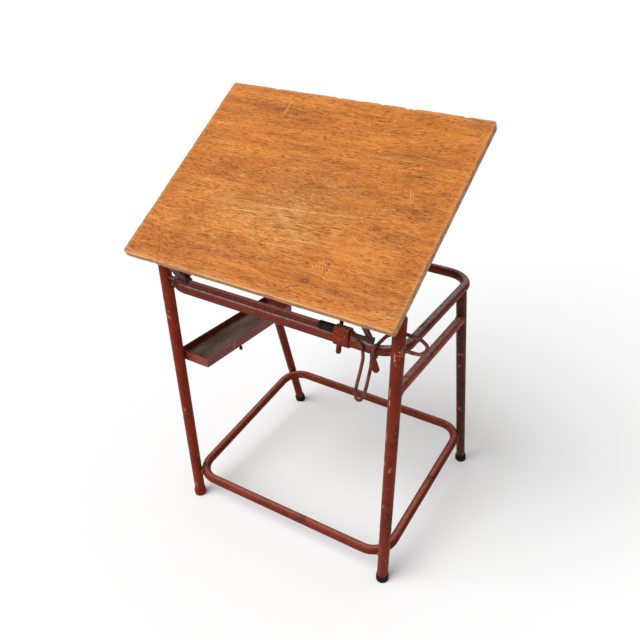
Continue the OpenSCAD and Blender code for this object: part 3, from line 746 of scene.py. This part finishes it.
# Notches broken out of the top edge: side, place along it in mm, half width, depth
NOTCHES = [
    ("back", -235, 9, 1.6), ("back", -60, 6, 1.6), ("back", -8, 11, 1.5),
    ("back", 52, 5, 1.7), ("back", 118, 9, 1.9), ("back", 131, 5, 1.8),
    ("back", 255, 8, 1.6), ("front", -284, 9, 1.8), ("front", -262, 6, 1.4),
    ("front", 40, 14, 1.2), ("right", 410, 7, 1.3), ("right", 150, 10, 1.1),
    ("left", 300, 8, 1.2), ("left", 70, 7, 1.0),
]


def board_outline():
    """(x, s, outward normal, name of the side, place along it) round the board, in mm."""
    corners = [
        (BOARD_RIGHT, BOARD_FRONT, CORNER, -90), (BOARD_RIGHT, BOARD_BACK, CORNER_WORN, 0),
        (BOARD_LEFT, BOARD_BACK, CORNER, 90), (BOARD_LEFT, BOARD_FRONT, CORNER, 180),
    ]
    sides = ["front", "right", "back", "left"]

    def centre_of(x, y, radius):
        return Vector((x - math.copysign(radius, x), y - math.copysign(radius, y)))

    outline = []
    for index, (x, y, radius, start) in enumerate(corners):
        # The straight side up to this corner, then the corner's own quarter turn
        last_x, last_y, last_radius, _ = corners[index - 1]
        normal = Vector((math.cos(math.radians(start)), math.sin(math.radians(start))))
        centre = centre_of(x, y, radius)
        begin = centre_of(last_x, last_y, last_radius) + normal * last_radius
        end = centre + normal * radius
        count = max(2, round((end - begin).length / STEP))
        for i in range(count):
            point = begin.lerp(end, i / count)
            along = point.y if sides[index] in ("right", "left") else point.x
            outline.append((point.x, point.y, normal, sides[index], along))
        steps = max(3, round(radius * math.pi / 2 / STEP))
        for i in range(steps):
            angle = math.radians(start + 90 * i / steps)
            out = Vector((math.cos(angle), math.sin(angle)))
            point = centre + radius * out
            outline.append((point.x, point.y, out, "corner", 0.0))
    return outline


def edge_wear(x, y, side, along):
    """(how far the whole edge is worn in, how much its top arris is rounded), in mm."""
    slow = noise.noise(Vector((x / SLOW, y / SLOW, 3.0)))
    quick = noise.noise(Vector((x / QUICK, y / QUICK, 9.0)))
    depth = EDGE_WEAR[0] + EDGE_WEAR[1] * slow + EDGE_WEAR[2] * quick
    arris = ARRIS_WEAR[0] + ARRIS_WEAR[1] * slow + ARRIS_WEAR[2] * quick
    if side == "front":
        depth += FRONT_WEAR[0] + FRONT_WEAR[1] * noise.noise(Vector((x / FRONT, 1.0, 5.0)))
    for name, centre, half, cut in NOTCHES:
        if name == side and abs(along - centre) < half:
            hollow = cut * (1.0 - ((along - centre) / half) ** 2)
            arris += NOTCH_ARRIS * hollow
            depth += NOTCH_WEAR * hollow
    return max(LEAST_WEAR, depth), max(LEAST_ARRIS, arris)


def board_panel():
    """The board with rounded, chipped edges, one closed mesh."""
    outline = board_outline()
    to_row = Matrix.Translation(AXIS) @ Matrix.Rotation(TILT, 4, "X")
    rows = []
    for x, y, out, side, along in outline:
        depth, arris = edge_wear(x, y, side, along)
        rise = 0.8 * arris
        # How far in from the outline and at which height, from the underside to the top
        profile = [
            (depth + 3.0, BOARD_UNDER),
            (depth + 1.2, BOARD_UNDER),
            (depth + 0.3, BOARD_UNDER + 0.4),
            (depth, BOARD_UNDER + 1.4),
            (0.8 * depth, BOARD_UNDER + 7.0),
            (depth, BOARD_TOP - rise - 2.0),
            (depth + 0.03 * arris, BOARD_TOP - rise),
            (depth + 0.28 * arris, BOARD_TOP - 0.38 * rise),
            (depth + 0.65 * arris, BOARD_TOP - 0.1 * rise),
            (depth + 1.1 * arris, BOARD_TOP),
            (depth + 1.1 * arris + 1.0, BOARD_TOP),
        ]
        rows.append([
            to_row @ (Vector((x - out.x * inset, y - out.y * inset, height)) * MM)
            for inset, height in profile
        ])
    wide = len(rows[0])
    points = [point for row in rows for point in row]
    faces = []
    for i in range(len(rows)):
        j = (i + 1) % len(rows)
        for k in range(wide - 1):
            faces.append((i * wide + k, j * wide + k, j * wide + k + 1, i * wide + k + 1))
    faces.append(tuple(i * wide for i in range(len(rows))))
    faces.append(tuple(i * wide + wide - 1 for i in reversed(range(len(rows)))))
    return mesh_from("board_panel", points, faces)


# ---- The bent wire ----

# x, depth and height from the tilt axis, in mm
WIRE_ROUTE = [
    (343, 0, 0), (356, 2, 0), (364.2, 12, 5), (363.2, 19, 13), (349.5, 19, 22.5),
    (331, 19.5, 24.5), (312, 19.5, 25.5), (292, 19.5, 20), (273, 17.5, 9.6), (265, 0, -1),
    (259, -15.5, -11), (258, -16, -31), (257, -17, -54), (255, -21, -76), (253, -26, -100),
    (250, -31, -122), (244, -34, -134), (234, -34, -134), (229, -31, -122),
    (231, -26, -98), (234, -20, -72), (237, -16.5, -46), (238, -16, -34), (236, -16, -20),
    (230, -14, -6), (218, -11.5, 1), (208, -10.5, 1), (203, -7, 0.5),
]
# In mm: radius of the wire, and how far from a corner its bends begin
WIRE_R = 3.8
WIRE_BEND = 5.0
# Points on each of those bends, and round the wire
BEND_STEPS = 5
WIRE_SIDES = 18
# The straight end that turns in the leg: left and right ends in x, radius, in mm
JOURNAL = (304.0, 345.0, 4.0)
# The eye on the shaft: left and right faces in x, radius of the bore and of the rim, in mm
EYE = (200.0, 206.5, 4.55, 8.0)


def lathe_x(profile, sides, closed):
    """A shape turned about the tilt axis from (x, radius) points, in mm."""
    points = [AXIS + Vector((x, radius * math.cos(turn), radius * math.sin(turn))) * MM
              for x, radius in profile for turn in turns(sides)]
    faces = tube_faces(len(profile), sides, closed)
    if not closed:
        faces += end_caps(len(profile), sides)
    return points, faces


def wire_mesh():
    """The bent wire, the straight end it turns on and its eye, as one mesh."""
    route = [AXIS + Vector(point) * MM for point in WIRE_ROUTE]
    path = softened(route, WIRE_BEND * MM, BEND_STEPS)
    wire = sweep(path, lambda i, k: WIRE_R * MM, WIRE_SIDES)
    left, right, radius = JOURNAL
    journal = lathe_x([(left, radius - 0.6), (left + 0.6, radius), (right - 1.2, radius),
                       (right, radius - 1.0)], 24, False)
    left, right, bore, rim = EYE
    eye = lathe_x([(left, bore), (left, rim - 1.0), (left + 0.3, rim - 0.3),
                   (left + 1.0, rim), (right - 1.0, rim), (right - 0.3, rim - 0.3),
                   (right, rim - 1.0), (right, bore)], 32, True)
    return mesh_from("release_wire_bent", *merged([wire, journal, eye]))


# ---- Weld beads ----

# Radii of the beads, and how many points a bead has round it
NEST_BEAD_R = 2.8 * MM
SADDLE_BEAD_R = 2.2 * MM
TRAY_BEAD_R = 1.7 * MM
HOLE_BEAD_R = 2.1 * MM
BEAD_SIDES = 10
# The shares of a bead's radius that its ripples and its lumps add or take
RIPPLE, LUMPINESS = 0.16, 0.3
# Half height of the ring where an upper or a lower loop rests on a leg
UPPER_REACH = 9.0 * MM
LOWER_REACH = 9.5 * MM
LOWER_LOOP_R = 12.5 * MM
# The lower loop's height where its front corners rest on the legs
LOWER_Z = 85.5 * MM
# The back legs lean forward as they rise; the foot is where their axis meets the floor.
RAKE = math.tan(math.radians(16.33))
BACK_FOOT_Y = 297.5 * MM
# The ring of weld round the hole where the wire leaves the right front leg
HOLE_RING_R = 6.8 * MM
# The spatter round it: turn round the leg in degrees and rise above the hole in mm, each
# as (middle, spread), radius in mm as (least, greatest), and how far the hole is clear
SPATTER_SEED = 7
SPATTER_COUNT = 34
SPATTER_TURN = (-28.0, 26.0)
SPATTER_RISE = (-3.0, 10.0)
SPATTER_R = (1.1, 2.7)
SPATTER_CLEAR = 8.0 * MM
# Lumps just above the right back foot: turn round the leg, height and radius in mm
LUMP_Z = 36.0 * MM
LUMPS = [(-0.25, 0.0, 4.2), (0.1, 4.0, 3.0), (-0.55, 3.0, 2.6)]


def bead(path, radius, seed, closed):
    """An uneven bead of weld metal, rippled along its length."""
    def radius_at(i, k):
        ripple = RIPPLE * math.sin(2.4 * i)
        lump = LUMPINESS * noise.noise(Vector((i * 0.31, k * 0.5, seed)))
        ends = 1.0 if closed else min(1.0, 0.35 + 0.4 * min(i, len(path) - 1 - i))
        return radius * ends * (1.0 + ripple + lump)
    return sweep(path, radius_at, BEAD_SIDES, closed)


def nest_bead(leg, inward, height, leg_r, loop_r, reach, seed):
    """A ring of weld round the place where a loop's corner rests on a leg."""
    tangent = Vector((-inward.y, inward.x, 0.0))
    path = []
    for turn in turns(30):
        a, b = 1.15 * reach * math.cos(turn), reach * math.sin(turn)
        at_leg = math.sqrt(leg_r ** 2 - a ** 2)
        at_loop = leg_r + loop_r - math.sqrt(loop_r ** 2 - b ** 2)
        path.append(leg + inward * ((at_leg + at_loop) / 2) + tangent * a
                    + Vector((0.0, 0.0, height + b)))
    return bead(path, NEST_BEAD_R, seed, True)


def saddle_bead(leg, lean, rail, direction, leg_r, rail_r, seed):
    """A ring of weld where a rail that runs along Y ends on a leg."""
    path = []
    for turn in turns(44):
        a, b = rail_r * math.cos(turn), rail_r * math.sin(turn)
        out = math.sqrt(max(0.0, leg_r ** 2 - a ** 2)) + 0.4 * MM
        path.append(Vector((leg.x + a, leg.y - lean * b + direction * out, rail + b)))
    return bead(path, SADDLE_BEAD_R, seed, True)


def blob(centre, out, radius, seed):
    """A low round drop of spatter, sunk a little into the surface."""
    side = out.orthogonal().normalized()
    across = out.cross(side)
    points = []
    rings, sides = 4, 9
    for i in range(rings):
        lift = math.sin(i / rings * math.pi / 2)
        reach = math.cos(i / rings * math.pi / 2)
        for k, turn in enumerate(turns(sides)):
            lump = 1.0 + 0.25 * noise.noise(Vector((k * 0.9, i * 0.7, seed)))
            points.append(centre + radius * (
                lump * reach * (math.cos(turn) * side + math.sin(turn) * across)
                + (0.75 * lift - 0.25) * out))
    tip = len(points)
    points.append(centre + radius * 0.55 * out)
    faces = tube_faces(rings, sides, False)
    last = (rings - 1) * sides
    for k in range(sides):
        faces.append((last + k, last + (k + 1) % sides, tip))
    faces.append(tuple(reversed(range(sides))))
    return points, faces


def loop_beads():
    """Where the corners of the front loops rest on the front legs."""
    low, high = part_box("upper_loop_front")
    upper_z, upper_r = (low.z + high.z) / 2, (high.z - low.z) / 2
    diagonal = math.sqrt(0.5)
    parts = []
    for side in (-1, 1):
        leg = Vector((side * LEG_X, LEG_Y, 0.0))
        inward = Vector((-side * diagonal, diagonal, 0.0))
        parts.append(nest_bead(leg, inward, upper_z, FRONT_LEG_R, upper_r, UPPER_REACH, side))
        parts.append(nest_bead(leg, inward, LOWER_Z, FRONT_LEG_R, LOWER_LOOP_R, LOWER_REACH,
                               side + 3))
    return parts


def rail_beads():
    """Where the right side rail ends on its two legs."""
    low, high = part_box("side_rail_right")
    rail_z, rail_r = (low.z + high.z) / 2, (high.z - low.z) / 2
    front = Vector((LEG_X, LEG_Y, 0.0))
    back = Vector((LEG_X, BACK_FOOT_Y - RAKE * rail_z, 0.0))
    return [saddle_bead(front, 0.0, rail_z, 1.0, FRONT_LEG_R, rail_r, 11),
            saddle_bead(back, RAKE, rail_z, -1.0, BACK_LEG_R, rail_r, 12)]


def tray_bead():
    """An upright run of weld where the tray's front meets the left front leg."""
    low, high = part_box("tray")
    x = low.x + 26.0 * MM
    y = LEG_Y + 14.4 * MM
    bottom = high.z - 22.0 * MM
    path = [Vector((x, y, bottom + k * 2.2 * MM)) for k in range(9)]
    return bead(path, TRAY_BEAD_R, 20, False)


def hole_bead_and_spatter():
    """Weld and spatter round the hole where the wire leaves the right front leg."""
    ring = []
    for turn in turns(28):
        a, b = HOLE_RING_R * math.cos(turn), HOLE_RING_R * math.sin(turn)
        out = math.sqrt(FRONT_LEG_R ** 2 - a ** 2)
        ring.append(Vector((LEG_X + out, AXIS.y + a, AXIS.z + b)))
    parts = [bead(ring, HOLE_BEAD_R, 31, True)]
    draw = random.Random(SPATTER_SEED)
    for index in range(SPATTER_COUNT):
        turn = math.radians(draw.gauss(*SPATTER_TURN))
        rise = draw.gauss(*SPATTER_RISE) * MM
        radius = draw.uniform(*SPATTER_R) * MM
        out = Vector((math.cos(turn), math.sin(turn), 0.0))
        from_hole = out * FRONT_LEG_R + Vector((-FRONT_LEG_R, 0.0, rise))
        if from_hole.length > SPATTER_CLEAR:
            centre = Vector((LEG_X, LEG_Y, AXIS.z + rise)) + out * FRONT_LEG_R
            parts.append(blob(centre, out, radius, index))
    return parts


def foot_lumps():
    """Lumps left on the right back leg just above its foot."""
    leg = Vector((LEG_X, BACK_FOOT_Y - RAKE * LUMP_Z, LUMP_Z))
    parts = []
    for index, (turn, lift, radius) in enumerate(LUMPS):
        out = Vector((math.cos(turn), math.sin(turn), 0.0))
        centre = leg + out * BACK_LEG_R + Vector((0, -RAKE, 1)) * lift * MM
        parts.append(blob(centre, out, radius * MM, 60 + index))
    return parts


def weld_mesh():
    """Every bead, drop and lump as one mesh."""
    parts = [*loop_beads(), *rail_beads(), tray_bead(), *hole_bead_and_spatter(),
             *foot_lumps()]
    return mesh_from("weld_beads", *merged(parts))


# ---- Floor, light and world ----

# Half the floor's width, in metres, and its colour
FLOOR_REACH = 30.0
FLOOR_COLOUR = (0.9, 0.9, 0.9)
# Strength of the sky, which is brighter overhead than at the horizon
SKY_LOW = 0.2
SKY_HIGH = 0.58
# Strength of the even, pale backdrop that the camera sees in place of the sky
BACKDROP = 1.0
# The soft main light: where it comes from, its angle across in radians, its strength
KEY_FROM = (-0.42, -0.88, 1.0)
KEY_WIDTH = 0.95
KEY_STRENGTH = 3.0


def make_floor():
    corners = ((-1, -1), (1, -1), (1, 1), (-1, 1))
    points = [Vector((x * FLOOR_REACH, y * FLOOR_REACH, 0.0)) for x, y in corners]
    mesh = mesh_from("floor", points, [(0, 1, 2, 3)])
    s = Shader("studio_floor")
    s.set("Base Color", FLOOR_COLOUR)
    s.set("Roughness", s.remap(s.noise(s.place, 3.0), 0.0, 1.0, 0.85, 0.95))
    s.set("Specular IOR Level", 0.1)
    mesh.materials.append(s.material)
    floor = bpy.data.objects.new("floor", mesh)
    scene.collection.objects.link(floor)


def make_key_light():
    data = bpy.data.lights.new("key", "SUN")
    data.angle = KEY_WIDTH
    data.energy = KEY_STRENGTH
    light = bpy.data.objects.new("key", data)
    scene.collection.objects.link(light)
    light.rotation_mode = "QUATERNION"
    light.rotation_quaternion = Vector(KEY_FROM).to_track_quat("Z", "Y")


def make_world():
    world = bpy.data.worlds.new("studio")
    world.use_nodes = True
    tree = world.node_tree
    background = tree.nodes["Background"]
    coordinates = tree.nodes.new("ShaderNodeTexCoord")
    parts = tree.nodes.new("ShaderNodeSeparateXYZ")
    level = tree.nodes.new("ShaderNodeMapRange")
    level.inputs["To Min"].default_value = SKY_LOW
    level.inputs["To Max"].default_value = SKY_HIGH
    tree.links.new(coordinates.outputs["Generated"], parts.inputs[0])
    tree.links.new(parts.outputs["Z"], level.inputs["Value"])
    seen = tree.nodes.new("ShaderNodeLightPath").outputs["Is Camera Ray"]
    strength = tree.nodes.new("ShaderNodeMix")
    tree.links.new(seen, strength.inputs["Factor"])
    tree.links.new(level.outputs["Result"], strength.inputs["A"])
    strength.inputs["B"].default_value = BACKDROP
    tree.links.new(strength.outputs["Result"], background.inputs["Strength"])
    background.inputs["Color"].default_value = (1.0, 1.0, 1.0, 1.0)
    scene.world = world
    scene.view_settings.view_transform = "Standard"
    scene.view_settings.look = "None"


# ---- Put it together ----

make_camera()
make_world()
make_key_light()
make_floor()

# Large chips: centre, half width and half height in mm. On the right front leg they run
# down the front, and the last is a bare patch beside the wire's hole.
RIGHT_LEG_CHIPS = [
    ((0.308, -0.264, 0.706), 1.6, 15.0), ((0.302, -0.2625, 0.616), 1.5, 15.0),
    ((0.303, -0.263, 0.589), 1.8, 9.0), ((0.3, -0.262, 0.49), 1.5, 18.0),
    ((0.301, -0.262, 0.415), 1.3, 10.0), ((0.304, -0.262, 0.28), 1.2, 8.0),
    ((0.318, -0.26, 0.719), 4.0, 3.0),
]
BACK_LEG_CHIPS = [((0.3205, 0.283, 0.035), 4.0, 4.0)]

materials = {
    "paint": painted("oxide_paint", PAINT_LIGHT, PAINT_BASE),
    "right_leg": painted("oxide_paint_chipped", (0.19, 0.021, 0.006), (0.13, 0.012, 0.004),
                         chips=0.8, spots=RIGHT_LEG_CHIPS),
    # The right back leg: a darker copy of the paint as painted shade, with chips, and black with
    # dirt at its foot
    "shaded_back_leg": painted("oxide_paint_back_shaded", (0.105, 0.016, 0.008), (0.07, 0.012, 0.007),
                        chips=0.4, spots=BACK_LEG_CHIPS, blackened=30.0 * MM),
    # Paint on the weld: paler and more chipped, partly a painted highlight on the beads and
    # spatter
    "weld": painted("oxide_paint_weld", (0.33, 0.11, 0.075), (0.2, 0.045, 0.026),
                    chips=1.2),
    # The right side rail: a lighter copy of the paint as painted light, with a pale painted
    # highlight on top
    "rail": painted("oxide_paint_lit", (0.33, 0.064, 0.036), (0.235, 0.04, 0.022),
                    highlight_colour=(0.66, 0.47, 0.43), from_up=0.8),
    # The upper loops: a darker copy of the paint with a strong painted highlight on top
    "loop": painted("oxide_paint_loop", (0.185, 0.026, 0.011), (0.125, 0.017, 0.008),
                    highlight_colour=(0.72, 0.58, 0.58), from_up=0.75),
    # The lower loops: a darker copy of the paint as painted shade, with a faint painted
    # highlight on top
    "low_loop": painted("oxide_paint_low_shaded", (0.19, 0.022, 0.007), (0.128, 0.013, 0.004),
                        highlight_colour=(0.4, 0.16, 0.12), from_up=0.82),
    # Parts under the board: a darker copy of the paint as painted shade, with a grey painted
    # highlight on top
    "shade": painted("oxide_paint_shaded", PAINT_BASE, (0.105, 0.022, 0.014),
                     highlight_colour=(0.46, 0.29, 0.25), from_up=0.65),
    "iron_and_shade": dark_iron("dark_iron", (0.02, 0.008, 0.006), (0.046, 0.014, 0.01),
                      (0.105, 0.024, 0.015)),
    "wire": dark_iron("dark_iron_wire", (0.04, 0.014, 0.01), (0.11, 0.028, 0.018),
                      (0.19, 0.044, 0.026)),
    "steel": worn_steel(),
    "rubber": rubber("rubber"),
    "rubber_painted": rubber("rubber_painted", paint_from=1.5 * MM),
    "plastic": black_plastic(),
    "tray": tray_metal(),
    "wood": board_wood(),
}

# The CAD nodes that have each material
LOOKS = {
    "paint": ("leg_front_left", "leg_back_left", "plug_left", "plug_right", "brake_block",
              "peg_bracket", "lever_lug", "paddle_lever"),
    "right_leg": ("leg_front_right",),
    "shaded_back_leg": ("leg_back_right",),
    "rail": ("side_rail_right",),
    "loop": ("upper_loop_front", "upper_loop_back"),
    "low_loop": ("lower_loop_front", "lower_loop_back"),
    "shade": ("stop_peg", "tilt_tube"),
    # Dark iron; on the arms under the board it also stands in as painted shade
    "iron_and_shade": ("tilt_shaft", "arm_left", "arm_right", "rear_crossbar"),
    "wire": ("release_wire",),
    "steel": ("pivot_pin_left", "peg_washer", "lever_pin", "board_screws"),
    "rubber": ("foot_front_right", "foot_back_left", "foot_back_right", "tray_knob"),
    "rubber_painted": ("foot_front_left",),
    "plastic": ("bearing_sleeve",),
    "tray": ("tray",),
    "wood": ("board",),
}

for look, names in LOOKS.items():
    for name in names:
        mesh = nodes[name].data
        if not mesh.materials:
            mesh.materials.append(materials[look])
        for index in range(len(mesh.materials)):
            mesh.materials[index] = materials[look]

make_piece("board_panel", board_panel(), "tilting_board", materials["wood"],
           replaces=("board",))
make_piece("release_wire_bent", wire_mesh(), "release_wire", materials["wire"],
           replaces=("release_wire",))
make_piece("weld_beads", weld_mesh(), "stand", materials["weld"])
